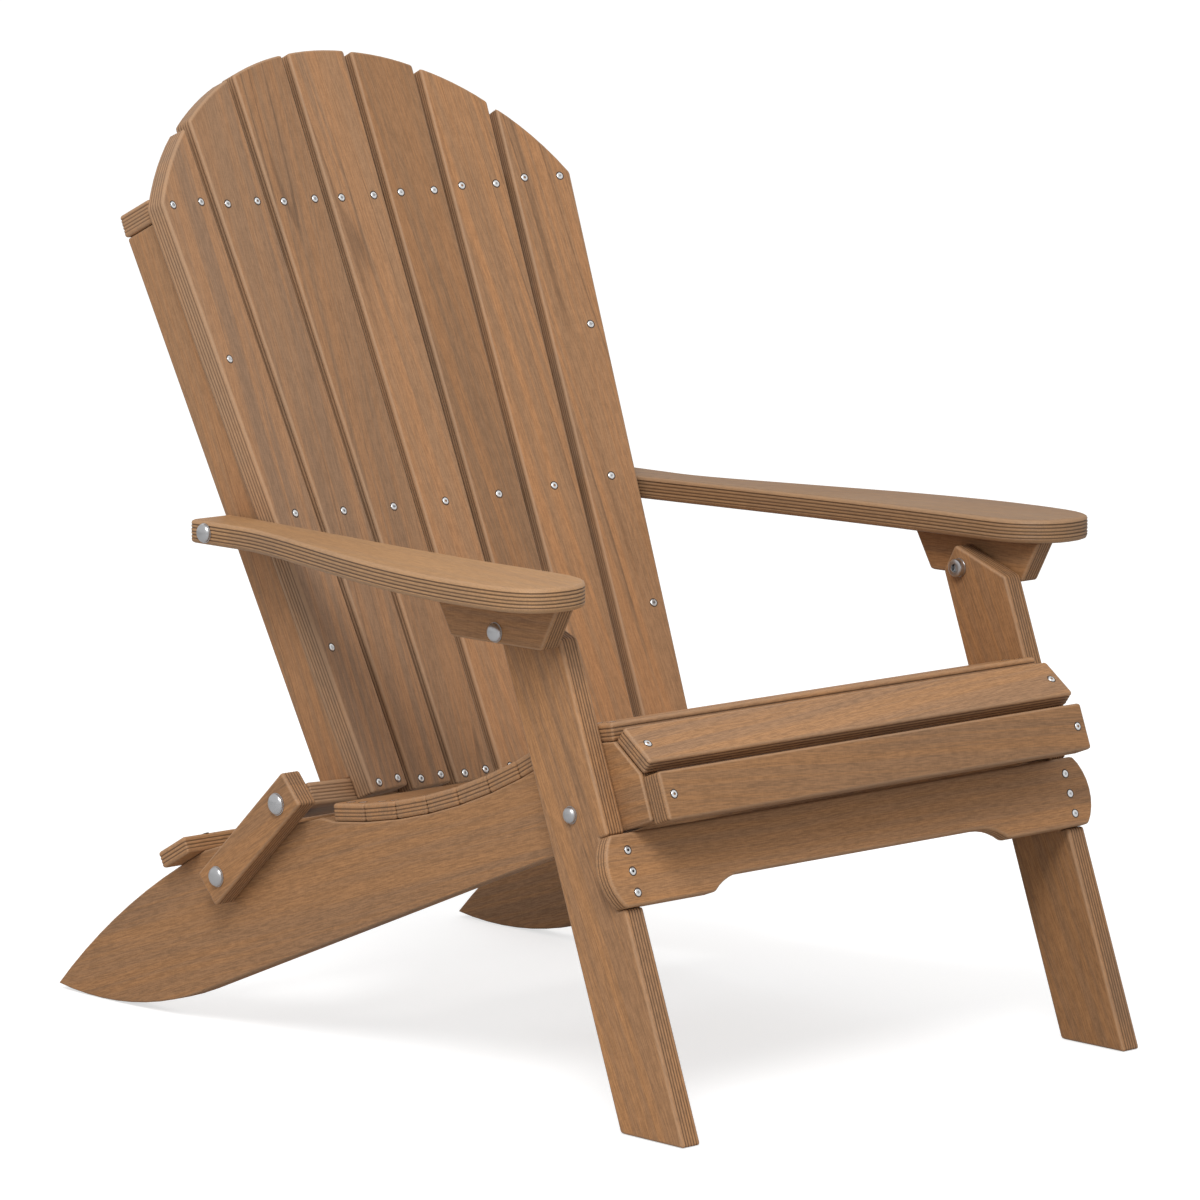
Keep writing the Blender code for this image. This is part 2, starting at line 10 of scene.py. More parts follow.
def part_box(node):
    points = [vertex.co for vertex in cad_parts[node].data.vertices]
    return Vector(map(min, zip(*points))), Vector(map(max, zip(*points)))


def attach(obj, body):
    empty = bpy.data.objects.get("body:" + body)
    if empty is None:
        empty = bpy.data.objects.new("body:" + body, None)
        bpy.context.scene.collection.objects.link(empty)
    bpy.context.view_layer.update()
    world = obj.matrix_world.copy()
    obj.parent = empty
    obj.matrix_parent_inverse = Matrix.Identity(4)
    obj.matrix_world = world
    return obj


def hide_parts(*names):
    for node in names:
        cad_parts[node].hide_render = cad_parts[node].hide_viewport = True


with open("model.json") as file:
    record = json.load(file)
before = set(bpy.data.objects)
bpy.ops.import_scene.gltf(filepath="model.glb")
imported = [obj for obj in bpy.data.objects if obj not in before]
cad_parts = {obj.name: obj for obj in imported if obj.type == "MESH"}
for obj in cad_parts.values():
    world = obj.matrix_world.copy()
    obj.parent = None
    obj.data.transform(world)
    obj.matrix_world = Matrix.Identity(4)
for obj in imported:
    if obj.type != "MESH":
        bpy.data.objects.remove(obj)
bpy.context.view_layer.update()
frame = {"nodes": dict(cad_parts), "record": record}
nodes = frame["nodes"]
bodyOf = {}
for bodyName, members in frame["record"]["behaviour"]["bodies"].items():
    for member in members:
        bodyOf[member] = bodyName


def newGroup(name, inputs, outputs):
    group = bpy.data.node_groups.new(name, "ShaderNodeTree")
    kinds = {"float": "NodeSocketFloat", "vector": "NodeSocketVector", "colour": "NodeSocketColor"}
    for socketName, kind, value in inputs:
        socket = group.interface.new_socket(name=socketName, in_out="INPUT", socket_type=kinds[kind])
        if value is not None:
            socket.default_value = value
    for socketName, kind in outputs:
        group.interface.new_socket(name=socketName, in_out="OUTPUT", socket_type=kinds[kind])
    start = group.nodes.new("NodeGroupInput")
    end = group.nodes.new("NodeGroupOutput")
    return group, start, end


class Wiring:
    # short ways to add nodes to one tree: each returns the new node's output
    def __init__(self, tree):
        self.tree = tree

    def feed(self, socket, value):
        if isinstance(value, bpy.types.NodeSocket):
            self.tree.links.new(value, socket)
        elif value is not None:
            socket.default_value = value

    def math(self, operation, a, b=None, c=None, clamp=False):
        node = self.tree.nodes.new("ShaderNodeMath")
        node.operation = operation
        node.use_clamp = clamp
        for socket, value in zip(node.inputs, (a, b, c)):
            self.feed(socket, value)
        return node.outputs[0]

    def mix(self, share, a, b, blend="MIX"):
        node = self.tree.nodes.new("ShaderNodeMix")
        node.data_type = "RGBA"
        node.blend_type = blend
        node.clamp_factor = True
        self.feed(node.inputs["Factor"], share)
        self.feed(node.inputs[6], a)   # 6, 7 and output 2 are the colour sockets
        self.feed(node.inputs[7], b)
        return node.outputs[2]

    def stretch(self, vector, scale, location=(0, 0, 0)):
        node = self.tree.nodes.new("ShaderNodeMapping")
        self.feed(node.inputs["Vector"], vector)
        node.inputs["Scale"].default_value = scale
        node.inputs["Location"].default_value = location
        return node.outputs[0]

    def noise(self, vector, detail=2.0, roughness=0.5, distortion=0.0, scale=1.0):
        node = self.tree.nodes.new("ShaderNodeTexNoise")
        self.feed(node.inputs["Vector"], vector)
        node.inputs["Scale"].default_value = scale
        node.inputs["Detail"].default_value = detail
        node.inputs["Roughness"].default_value = roughness
        node.inputs["Distortion"].default_value = distortion
        return node.outputs[0]

    def remap(self, value, low, high, toLow=0.0, toHigh=1.0, smooth=True):
        node = self.tree.nodes.new("ShaderNodeMapRange")
        node.interpolation_type = "SMOOTHSTEP" if smooth else "LINEAR"
        self.feed(node.inputs["Value"], value)
        ends = {"From Min": low, "From Max": high, "To Min": toLow, "To Max": toHigh}
        for socketName, number in ends.items():
            node.inputs[socketName].default_value = number
        return node.outputs[0]

    def attribute(self, name):
        node = self.tree.nodes.new("ShaderNodeAttribute")
        node.attribute_type = "GEOMETRY"
        node.attribute_name = name
        return node

    def split(self, vector):
        node = self.tree.nodes.new("ShaderNodeSeparateXYZ")
        self.feed(node.inputs[0], vector)
        return node.outputs

    def group(self, groupTree, **values):
        node = self.tree.nodes.new("ShaderNodeGroup")
        node.node_tree = groupTree
        for socketName, value in values.items():
            self.feed(node.inputs[socketName], value)
        return node.outputs


# the grain of a moulded wood-look board: how often each mark repeats in a metre,
# along the board, across it and through its thickness
grain = {
    "streak": (1.5, 105.0, 40.0),
    "patch": (1.5, 14.0, 10.0),
    "fibre": (14.0, 620.0, 850.0),
    "dash": (85.0, 1050.0, 800.0),
    "tick": (700.0, 210.0, 210.0),
    "vein": (0.9, 30.0, 8.0),
    "veinGate": (1.6, 9.0, 3.0),      # where veins may show
    "veinWidth": 0.020,
    "bend": (4.0, 7.0, 7.0),          # slow waves that bend the grain
    "bendAcross": 0.008,
}


def makeGrainGroup():
    group, start, end = newGroup(
        "boardGrain", [("Place", "vector", None)],
        [("Streak", "float"), ("Patch", "float"), ("Fibre", "float"), ("Dash", "float"), ("Vein", "float"),
         ("Relief", "float")])
    w = Wiring(group)
    place = start.outputs["Place"]
    bend = group.nodes.new("ShaderNodeVectorMath")
    bend.operation = "MULTIPLY_ADD"
    w.feed(bend.inputs[0], w.noise(w.stretch(place, grain["bend"]), detail=1.0))
    bend.inputs[1].default_value = (0.0, grain["bendAcross"], 0.0)
    w.feed(bend.inputs[2], place)
    flow = bend.outputs[0]
    streak = w.noise(w.stretch(flow, grain["streak"]), detail=4.0, roughness=0.6)
    patch = w.noise(w.stretch(flow, grain["patch"], (3.1, 7.7, 0.4)), detail=2.0)
    fibre = w.noise(w.stretch(flow, grain["fibre"]), detail=2.0, roughness=0.6)
    dash = w.noise(w.stretch(flow, grain["dash"], (9.0, 4.0, 1.0)), detail=1.0)
    tick = w.noise(w.stretch(flow, grain["tick"]), detail=2.0, roughness=0.55)
    veinNoise = w.noise(w.stretch(flow, grain["vein"], (11.0, 2.0, 5.0)), detail=1.0)
    offMiddle = w.math("ABSOLUTE", w.math("SUBTRACT", veinNoise, 0.5))
    vein = w.remap(offMiddle, 0.0, grain["veinWidth"], 1.0, 0.0)   # thin lines where the noise is half way
    gate = w.remap(w.noise(w.stretch(flow, grain["veinGate"], (4.0, 1.0, 9.0)), detail=1.0), 0.52, 0.64)
    relief = w.math("ADD", w.math("MULTIPLY", fibre, 0.35), w.math("MULTIPLY", tick, 0.30))
    relief = w.math("ADD", relief, w.math("MULTIPLY", dash, 0.35))
    w.feed(end.inputs["Streak"], streak)
    w.feed(end.inputs["Patch"], patch)
    w.feed(end.inputs["Fibre"], w.math("ADD", w.math("MULTIPLY", fibre, 0.6), w.math("MULTIPLY", tick, 0.4)))
    w.feed(end.inputs["Dash"], w.remap(dash, 0.34, 0.66))
    w.feed(end.inputs["Vein"], w.math("MULTIPLY", vein, gate))
    w.feed(end.inputs["Relief"], relief)
    return group


wearLook = {"smudge": (9.0, 9.0, 9.0), "speck": (1400.0, 1400.0, 1400.0)}   # marks in a metre


# soft smudges and fine specks, used by both the boards and the metal
def makeWearGroup():
    group, start, end = newGroup(
        "fineWear", [("Place", "vector", None)], [("Smudge", "float"), ("Speck", "float")])
    w = Wiring(group)
    place = start.outputs["Place"]
    smudge = w.remap(w.noise(w.stretch(place, wearLook["smudge"], (1.0, 5.0, 2.0)), detail=3.0), 0.35, 0.70)
    speck = w.remap(w.noise(w.stretch(place, wearLook["speck"]), detail=1.0), 0.60, 0.78)
    w.feed(end.inputs["Smudge"], smudge)
    w.feed(end.inputs["Speck"], speck)
    return group


grainGroup = makeGrainGroup()
wearGroup = makeWearGroup()
print("node groups:", grainGroup.name, wearGroup.name)


def newMaterial(name, roughness, metallic):
    material = bpy.data.materials.new(name)
    material.use_nodes = True
    shader = material.node_tree.nodes["Principled BSDF"]
    shader.inputs["Roughness"].default_value = roughness
    shader.inputs["Metallic"].default_value = metallic
    return material, shader, Wiring(material.node_tree)


# the boards of the back, then what differs on the seat's and the arms'
backLook = {
    "grey": (0.262, 0.149, 0.081, 1.0),
    "tan": (0.315, 0.173, 0.088, 1.0),
    "warm": (0.356, 0.180, 0.082, 1.0),
    "vein": (0.150, 0.083, 0.045, 1.0),
    # the colour of the painted highlight on corners and the painted light on sides
    "edge": (0.420, 0.262, 0.155, 1.0),
    # the colour of the painted shade in the groove floors
    "grooveShade": (0.070, 0.037, 0.020, 1.0),
    "patchRange": (0.34, 0.66),
    "streakRange": (0.40, 0.62),
    "streaks": 1.00,
    "veins": 0.60,
    "fine": 0.66,
    "dashes": 0.22,
    "rimPaintedHighlight": 0.36,      # painted highlight on the rounded corners
    "sidePaintedLight": 0.42,     # painted light on the sides
    "grooveShadeAmount": 0.55,
    "smooth": 0.47,       # the lowest roughness
    "fibreRough": 0.22,
    "smudgeRough": 0.05,
    "specular": 0.30,
    "bump": 0.55,
    "relief": 0.00042,
}
seatLook = dict(
    backLook,
    grey=(0.285, 0.153, 0.076, 1.0), tan=(0.338, 0.176, 0.081, 1.0), warm=(0.385, 0.187, 0.074, 1.0),
    streaks=0.70, veins=0.40, fine=0.80, dashes=0.28, sidePaintedLight=0.16, grooveShadeAmount=0.72)
armLook = dict(
    backLook,
    grey=(0.300, 0.168, 0.084, 1.0), tan=(0.350, 0.198, 0.095, 1.0), warm=(0.395, 0.212, 0.090, 1.0),
    streaks=0.50, veins=0.12, fine=0.36, dashes=0.20, sidePaintedLight=0.16, grooveShadeAmount=0.80,
    relief=0.00022, smooth=0.41)


def scaleColour(w, colour, level):
    # level is a tint, or one value for all three channels
    node = w.tree.nodes.new("ShaderNodeVectorMath")
    node.operation = "MULTIPLY" if level.type == "VECTOR" else "SCALE"
    w.feed(node.inputs[0], colour)
    w.feed(node.inputs[1] if level.type == "VECTOR" else node.inputs["Scale"], level)
    return node.outputs[0]


def makeBoardMaterial(name, look):
    material, shader, w = newMaterial(name, 0.55, 0.0)
    place = w.attribute("boardPlace").outputs["Vector"]
    # masks for painted light on the sides, painted shade in the groove floors and a painted highlight on the
    # rounded corners
    side, grooveShade, highlightRim = w.split(w.attribute("boardPaintedLightMasks").outputs["Vector"])
    toneAndShade = w.attribute("boardToneShadeLevel").outputs["Vector"]
    pattern = w.group(grainGroup, Place=place)
    wear = w.group(wearGroup, Place=place)
    colour = w.mix(w.remap(pattern["Patch"], *look["patchRange"]), look["grey"], look["tan"])
    streaks = w.remap(pattern["Streak"], *look["streakRange"])
    colour = w.mix(w.math("MULTIPLY", streaks, look["streaks"]), colour, look["warm"])
    colour = w.mix(w.math("MULTIPLY", pattern["Vein"], look["veins"]), colour, look["vein"])
    colour = scaleColour(w, colour, toneAndShade)   # this board's level: partly its own tone, partly painted light and shade
    fine = w.math("ADD", w.math("MULTIPLY", pattern["Fibre"], look["fine"]), 1.0 - look["fine"] * 0.5)
    fine = w.math("ADD", fine, w.math("MULTIPLY", w.math("SUBTRACT", pattern["Dash"], 0.5), look["dashes"]))
    colour = scaleColour(w, colour, fine)
    # painted highlight on the rounded corners
    colour = w.mix(w.math("MULTIPLY", highlightRim, look["rimPaintedHighlight"]), colour, look["edge"])
    # painted light on the sides
    colour = w.mix(w.math("MULTIPLY", side, look["sidePaintedLight"]), colour, look["edge"])
    # painted shade in the groove floors
    colour = w.mix(w.math("MULTIPLY", grooveShade, look["grooveShadeAmount"]), colour, look["grooveShade"])
    w.feed(shader.inputs["Base Color"], colour)
    rough = w.math("ADD", w.math("MULTIPLY", pattern["Fibre"], look["fibreRough"]), look["smooth"])
    rough = w.math("ADD", rough, w.math("MULTIPLY", wear["Smudge"], look["smudgeRough"]))
    w.feed(shader.inputs["Roughness"], rough)
    bump = material.node_tree.nodes.new("ShaderNodeBump")
    bump.inputs["Strength"].default_value = look["bump"]
    bump.inputs["Distance"].default_value = look["relief"]
    w.feed(bump.inputs["Height"], pattern["Relief"])
    w.feed(shader.inputs["Normal"], bump.outputs[0])
    shader.inputs["Specular IOR Level"].default_value = look["specular"]
    return material


seatBoard = makeBoardMaterial("seatBoard", seatLook)
backBoard = makeBoardMaterial("backBoard", backLook)
armBoard = makeBoardMaterial("armBoard", armLook)

# each board's level, how light and how warm: partly its own tone, partly painted light and shade; the far
# arm, far front leg, far arm block, near arm block and fascia are painted darker where shade falls
boardToneAndPaintedShade = {
    "back_slat_1": (1.04, -0.35), "back_slat_2": (0.97, -0.30), "back_slat_3": (0.91, -0.10),
    "back_slat_4": (1.05, 0.00), "back_slat_5": (0.85, 0.20), "back_slat_6": (1.04, 0.30),
    "back_slat_7": (1.00, 0.25), "right_front_leg": (1.02, 0.15), "left_front_leg": (0.82, 0.20),
    "right_link": (0.94, 0.20), "apron": (1.00, 0.05), "seat_nosing": (1.04, -0.35),
    "seat_fascia": (0.78, 0.05), "left_arm": (0.80, -0.10), "right_arm": (1.07, 0.10),
    "left_arm_block": (0.80, 0.00), "right_arm_block": (0.88, 0.00), "right_stringer": (0.92, 0.00),
    "left_stringer": (1.00, 0.00),
}
tintReach = {"level": 0.05, "warmth": 0.2, "red": 0.10, "blue": 0.18}


def boardTintAndShade(nodeName, number):
    # boards without a shade of their own differ a little from each other
    reach = tintReach
    scatter = (1.0 + reach["level"] * math.sin(12.9898 * number), reach["warmth"] * math.sin(7.3 * number))
    level, warmth = boardToneAndPaintedShade.get(nodeName, scatter)
    return (level * (1.0 + reach["red"] * warmth), level, level * (1.0 - reach["blue"] * warmth))


steelLook = {
    "bright": (0.56, 0.56, 0.57, 1.0),
    "dull": (0.40, 0.40, 0.41, 1.0),
    "recessShade": (0.05, 0.05, 0.052, 1.0),   # painted shade inside a socket and round a head's foot
    "roughness": (0.26, 0.40),            # where clean, and where smudged
    "speckRough": 0.12,
}
screwLook = dict(
    steelLook, bright=(0.95, 0.95, 0.95, 1.0), dull=(0.85, 0.85, 0.86, 1.0), roughness=(0.30, 0.40))


def makeMetal(name, look):
    material, shader, w = newMaterial(name, 0.3, 1.0)
    coords = material.node_tree.nodes.new("ShaderNodeTexCoord").outputs["Object"]
    wear = w.group(wearGroup, Place=coords)
    # painted shade in the sockets and at the foot of the screw heads
    depth = w.attribute("metalShadeMask").outputs["Fac"]
    colour = w.mix(w.math("MULTIPLY", wear["Smudge"], 0.5), look["bright"], look["dull"])
    w.feed(shader.inputs["Base Color"], w.mix(depth, colour, look["recessShade"]))
    low, high = look["roughness"]
    rough = w.math("ADD", w.math("MULTIPLY", wear["Smudge"], high - low), low)
    rough = w.math("ADD", rough, w.math("MULTIPLY", wear["Speck"], look["speckRough"]))
    w.feed(shader.inputs["Roughness"], rough)
    return material


steel = makeMetal("stainlessSteel", steelLook)
screwSteel = makeMetal("screwSteel", screwLook)

# a dark ring laid on the board round each screw: the painted shade of its countersink
shadeLook = {"dark": (0.045, 0.026, 0.016, 1.0), "light": (0.075, 0.043, 0.026, 1.0), "roughness": 0.75}


def makeCountersinkPaintedShade():
    material, shader, w = newMaterial("countersinkPaintedShade", 0.8, 0.0)
    coords = material.node_tree.nodes.new("ShaderNodeTexCoord").outputs["Object"]
    wear = w.group(wearGroup, Place=coords)
    w.feed(shader.inputs["Base Color"], w.mix(wear["Smudge"], shadeLook["dark"], shadeLook["light"]))
    rough = w.math("ADD", w.math("MULTIPLY", wear["Speck"], 0.1), shadeLook["roughness"])
    w.feed(shader.inputs["Roughness"], rough)
    return material


countersinkPaintedShade = makeCountersinkPaintedShade()
print("materials:", len(bpy.data.materials))


boardCut = {
    "grooveWidth": 0.0019,
    "grooveFloor": 0.0008,
    "grooveDepth": 0.0007,
    "thick": (-0.0068, -0.0034, 0.0000, 0.0036, 0.0070),   # heights of the lines on a heavy board's side
    "thin": (-0.0040, -0.0004, 0.0034),                     # and on a seat board's
    "thickHalf": 0.012,      # half the thickness that the heavy lines are given for
    "thickFrom": 0.0105,     # a board is heavy from this half thickness
    "corner": 0.0030,        # the CAD corner rounding
    "skin": 0.0002,          # nearer the face than this is the face itself
    "creaseAngle": math.radians(50),
}


def longAxis(points, thin):
    # the direction in which a board is longest, square to its thickness
    best, bestSpan = None, 0.0
    side = thin.orthogonal().normalized()
    for step in range(180):
        axis = Matrix.Rotation(math.pi * step / 180, 3, thin) @ side
        reach = [p.dot(axis) for p in points]
        if max(reach) - min(reach) > bestSpan:
            best, bestSpan = axis, max(reach) - min(reach)
    return best


def thinAxis(bm):
    # the direction that most of a board's surface faces
    areas = {}
    for face in bm.faces:
        n = face.normal
        if n.x + n.y * 0.01 + n.z * 0.0001 < 0:
            n = -n
        key = tuple(round(c, 2) for c in n)
        total, keep = areas.get(key, (0.0, n.copy()))
        areas[key] = (total + face.calc_area(), keep)
    return max(areas.values(), key=lambda pair: pair[0])[1].normalized()


def cutLines(bm, thin, middle, half, number):
    # moulded lines round a board's sides, each a little shallower than the full depth;
    # returns the indices of the vertices on their floors
    lines = boardCut["thin"]
    if half > boardCut["thickFrom"]:
        lines = [h * half / boardCut["thickHalf"] for h in boardCut["thick"]]
    wide, narrow = boardCut["grooveWidth"] / 2, boardCut["grooveFloor"] / 2
    for h in lines:
        for level in (h - wide, h - narrow, h + narrow, h + wide):
            bmesh.ops.bisect_plane(bm, geom=bm.verts[:] + bm.edges[:] + bm.faces[:], dist=0.000001,
                                   plane_co=thin * (middle + level), plane_no=thin)
    bm.normal_update()
    floors = set()
    for vert in bm.verts:
        h = vert.co.dot(thin) - middle
        for index, line in enumerate(lines):
            outward = vert.normal - thin * vert.normal.dot(thin)
            if abs(h - line) < narrow + 0.00002 and outward.length > 0.1:
                depth = boardCut["grooveDepth"] * (0.7 + 0.3 * math.sin(7.0 * number + 2.3 * index))
                vert.co -= outward.normalized() * depth
                floors.add(vert.index)
    return floors


def addVectors(mesh, name, values):
    mesh.attributes.new(name, "FLOAT_VECTOR", "POINT").data.foreach_set("vector", values)


def dressBoard(nodeName, material, number):
    # a copy of the CAD board with moulded lines, its own place in the grain and its level, partly its own
    # tone and partly painted shade
    bm = bmesh.new()
    bm.from_mesh(nodes[nodeName].data)
    bmesh.ops.remove_doubles(bm, verts=bm.verts, dist=0.00001)
    bmesh.ops.dissolve_limit(bm, angle_limit=math.radians(0.6), verts=bm.verts, edges=bm.edges)
    thin = thinAxis(bm)
    spread = [v.co.dot(thin) for v in bm.verts]
    middle = (max(spread) + min(spread)) / 2
    half = (max(spread) - min(spread)) / 2
    run = longAxis([v.co for v in bm.verts], thin)
    run = (run - thin * run.dot(thin)).normalized()
    across = thin.cross(run)
    floors = cutLines(bm, thin, middle, half, number)
    centre = sum((v.co for v in bm.verts), Vector()) / len(bm.verts)
    shift = Vector((0.71 * number, 0.37 * number, 0.0))   # another stretch of grain for each board
    skin = boardCut["skin"]
    place, paintedLightMasks = [], []
    for vert in bm.verts:
        off = vert.co - centre
        h = vert.co.dot(thin) - middle
        place += (Vector((off.dot(run), off.dot(across), h)) + shift)[:]
        toFace = half - abs(h)
        # mask for the painted light on the sides
        side = 0.0 if toFace < skin else 1.0
        # mask for the painted shade in the groove floors
        grooveShade = 1.0 if vert.index in floors else 0.0
        # mask for the painted highlight on the rounded corners
        highlightRim = 1.0 if skin < toFace < boardCut["corner"] * 0.8 else 0.0
        paintedLightMasks += (side, grooveShade, highlightRim)
    mesh = bpy.data.meshes.new(nodeName + "Board")
    bm.to_mesh(mesh)
    bm.free()
    addVectors(mesh, "boardPlace", place)
    addVectors(mesh, "boardPaintedLightMasks", paintedLightMasks)
    addVectors(mesh, "boardToneShadeLevel", boardTintAndShade(nodeName, number) * len(mesh.vertices))
    mesh.materials.clear()
    mesh.materials.append(material)
    mesh.shade_smooth()
    mesh.set_sharp_from_angle(angle=boardCut["creaseAngle"])
    obj = bpy.data.objects.new(nodeName + "Board", mesh)
    bpy.context.scene.collection.objects.link(obj)
    flat = obj.modifiers.new("flatFaces", "WEIGHTED_NORMAL")
    flat.keep_sharp = True
    flat.weight = 80
    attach(obj, bodyOf[nodeName])
    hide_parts(nodeName)


# the seat's material also serves the frame under it and the front legs
framePieces = ("_stringer", "_front_leg", "_link", "_arm_block", "rear_cross_board", "apron")
boardKinds = (
    (seatBoard, [n for n in nodes if n.startswith("seat_") or n.endswith(framePieces)]),
    (backBoard, [n for n in nodes if n.startswith("back_slat") or n.endswith(("_rail", "_stile"))]),
    (armBoard, [n for n in nodes if n.endswith("_arm")]),
)

count = 0
for material, names in boardKinds:
    for nodeName in sorted(names):
        count += 1
        dressBoard(nodeName, material, count)
print("boards:", count)


screwCut = {
    "radius": 0.0036,
    "rise": 0.0007,
    "lowRise": 0.0002,       # for the seat's screws, which lie almost flush
    "socket": 0.0014,
    "socketDepth": 0.0011,
    "lobe": 0.20,            # how far the socket's six lobes swell
    "ring": 0.0047,          # the ring of painted shade round a head
    "steps": 24,
}

boltCut = {
    "steps": 40,
    "shank": 0.0040,
    "proud": 0.0064,         # how far a head stands off its board
    "heads": {
        "leg_pivot": 0.0082, "link_pivot": 0.0102, "arm_pivot": 0.0092, "rail": 0.0108, "arm_rear": 0.0096},
    "nuts": ("leg_pivot", "link_pivot", "arm_pivot"),
    "nutRadius": 0.0092,
    "nutSteps": 36,
    "washer": 1.04,          # the washer's radius over the head's
    "washerThick": 0.0011,
}


def ringOf(bm, radius, height, steps, place):
    made = bmesh.ops.create_circle(bm, cap_ends=False, segments=steps, radius=radius,
                                   matrix=place @ Matrix.Translation((0, 0, height)))
    verts = made["verts"]
    edges = list({e for v in verts for e in v.link_edges})
    return verts, edges


def turnedShell(bm, profile, steps, place):
    # a closed turned shape: a line of (radius, height) points spun round the place's Z
    verts = [bm.verts.new(place @ Vector((r, 0.0, h))) for r, h in profile]
    edges = [bm.edges.new(pair) for pair in zip(verts, verts[1:])]
    axis = (place.to_3x3() @ Vector((0, 0, 1))).normalized()
    bmesh.ops.spin(bm, geom=verts + edges, cent=place.translation, axis=axis, dvec=(0, 0, 0),
                   angle=math.tau, steps=steps, use_merge=True, use_duplicate=False)


def reshapeRing(verts, place, swell):
    # move each vertex of a round ring in or out by its angle
    inverse = place.inverted()
    for vert in verts:
        local = inverse @ vert.co
        swing = swell(math.atan2(local.y, local.x))
        vert.co = place @ Vector((local.x * swing, local.y * swing, local.z))


def closeRings(bm, rings):
    # walls between neighbouring rings, and a face over each end
    for upper, lower in zip(rings, rings[1:]):
        bmesh.ops.bridge_loops(bm, edges=upper[1] + lower[1])
    for verts, _ in (rings[0], rings[-1]):
        bmesh.ops.contextual_create(bm, geom=verts)


def shadeRing(verts, layer, depth):
    for vert in verts:
        vert[layer] = depth


def starScrew(bm, place, layer, rise):
    # a low domed head with a six-lobed socket, its top along +Z of its place
    cut = screwCut
    radius, socket = cut["radius"], cut["socket"]
    profile = [(radius, -0.0004), (radius, rise * 0.35), (radius * 0.93, rise * 0.75), (radius * 0.72, rise),
               (socket * 1.25, rise), (socket, rise), (socket, rise - cut["socketDepth"])]
    rings = [ringOf(bm, r, h, cut["steps"], place) for r, h in profile]
    for verts, _ in rings[-2:]:
        reshapeRing(verts, place, lambda angle: 1.0 + cut["lobe"] * math.cos(6 * angle))
    # painted shade: at the head's foot, a little at the socket's rim, full on the socket's floor
    shadeRing(rings[0][0], layer, 0.85)
    shadeRing(rings[-2][0], layer, 0.25)
    shadeRing(rings[-1][0], layer, 1.0)
    closeRings(bm, rings)


def finishPiece(bm, name, body, material, replaced=(), sharp=40):
    bmesh.ops.remove_doubles(bm, verts=bm.verts, dist=0.000002)
    bmesh.ops.recalc_face_normals(bm, faces=bm.faces)
    mesh = bpy.data.meshes.new(name)
    bm.to_mesh(mesh)
    bm.free()
    mesh.materials.append(material)
    mesh.shade_smooth()
    mesh.set_sharp_from_angle(angle=math.radians(sharp))
    obj = bpy.data.objects.new(name, mesh)
    bpy.context.scene.collection.objects.link(obj)
    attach(obj, body)
    if replaced:
        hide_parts(*replaced)


def screwGroup(name, body, places, replaced=(), rise=screwCut["rise"]):
    heads = bmesh.new()
    layer = heads.verts.layers.float.new("metalShadeMask")
    rings = bmesh.new()
    outer, inner = screwCut["ring"], screwCut["radius"] + 0.00002
    ringProfile = [(inner, -0.0002), (inner, 0.00005), (outer, 0.00012), (outer, -0.0002), (inner, -0.0002)]
    for place in places:
        starScrew(heads, place, layer, rise)
        # a thin dark ring over the board: painted shade round the head
        turnedShell(rings, ringProfile, screwCut["steps"], place)
    finishPiece(heads, name + "Heads", body, screwSteel, replaced)
    finishPiece(rings, name + "Rings", body, countersinkPaintedShade)
    return len(places)


# how the chair is set out, in the frame that every piece shares
chair = {
    "frontFoot": -0.4832,
    "backOrigin": (0.8187, 0.8178),    # behind the front foot, and up
    "recline": math.radians(23.9),
    "slatPitch": 0.0809,
    "slatFan": 0.0257,
    "slatSag": 0.00219,
    "slatCant": math.radians(3.25),
    "legTilt": math.radians(20.2),
}

# where the screws stand, from the middle of each board
screwSpots = {
    "slat": ((-0.0220, 0.0), (0.0220, 0.0), (0.0, -0.334), (-0.0150, -0.6185), (0.0150, -0.6185)),
    "outerSlat": ((0.0177, -0.1666), (0.0156, -0.4751)),    # two more into the stiles
    "stringer": 0.2786,
    "seatPair": 0.009,
    "crossPair": 0.012,
    "nosing": (0.2759, 0.0891),      # across, and behind the front foot
    "fascia": (0.2762, 0.3236),      # across, and up
}


def slatFrame(k):
    # x across slat k, y up along it and z forward from its face
    lean = chair["recline"]
    rise = Vector((0.0, math.sin(lean), math.cos(lean)))
    forward = Vector((0.0, -math.cos(lean), math.sin(lean)))
    base = Matrix((Vector((1, 0, 0)), rise, forward)).transposed().to_4x4()
    base.translation = Vector((0.0, chair["backOrigin"][0] + chair["frontFoot"], chair["backOrigin"][1]))
    return (base @ Matrix.Translation((k * chair["slatPitch"], 0.0, chair["slatSag"] * k * k))
            @ Matrix.Rotation(-math.atan(chair["slatFan"] * k), 4, "Z")
            @ Matrix.Rotation(-chair["slatCant"] * k, 4, "Y"))


def slatScrews():
    places = []
    for k in range(-3, 4):
        spots = list(screwSpots["slat"])
        if abs(k) == 3:
            side = 1 if k > 0 else -1
            spots += [(side * x, s) for x, s in screwSpots["outerSlat"]]
        places += [slatFrame(k) @ Matrix.Translation((x, s, 0.0)) for x, s in spots]
    return places


def surfacePlaces(nodeName, spots, down, plug=False):
    # screws set where a straight line meets a board, turned to that face
    found = []
    shell = bmesh.new()
    shell.from_mesh(nodes[nodeName].data)
    tree = BVHTree.FromBMesh(shell)
    beside = Vector((0.0, 0.0, 0.006)) if plug else Vector()
    for spot in spots:
        start, line = Vector(spot), Vector(down)
        hit, normal, _, _ = tree.ray_cast(start + beside, line)
        if plug:   # the hole's own middle, level with the face beside it
            hit = start + line * (hit - start).dot(line)
        place = normal.to_track_quat("Z", "Y").to_matrix().to_4x4()
        place.translation = hit
        found.append(place)
    shell.free()
    return found


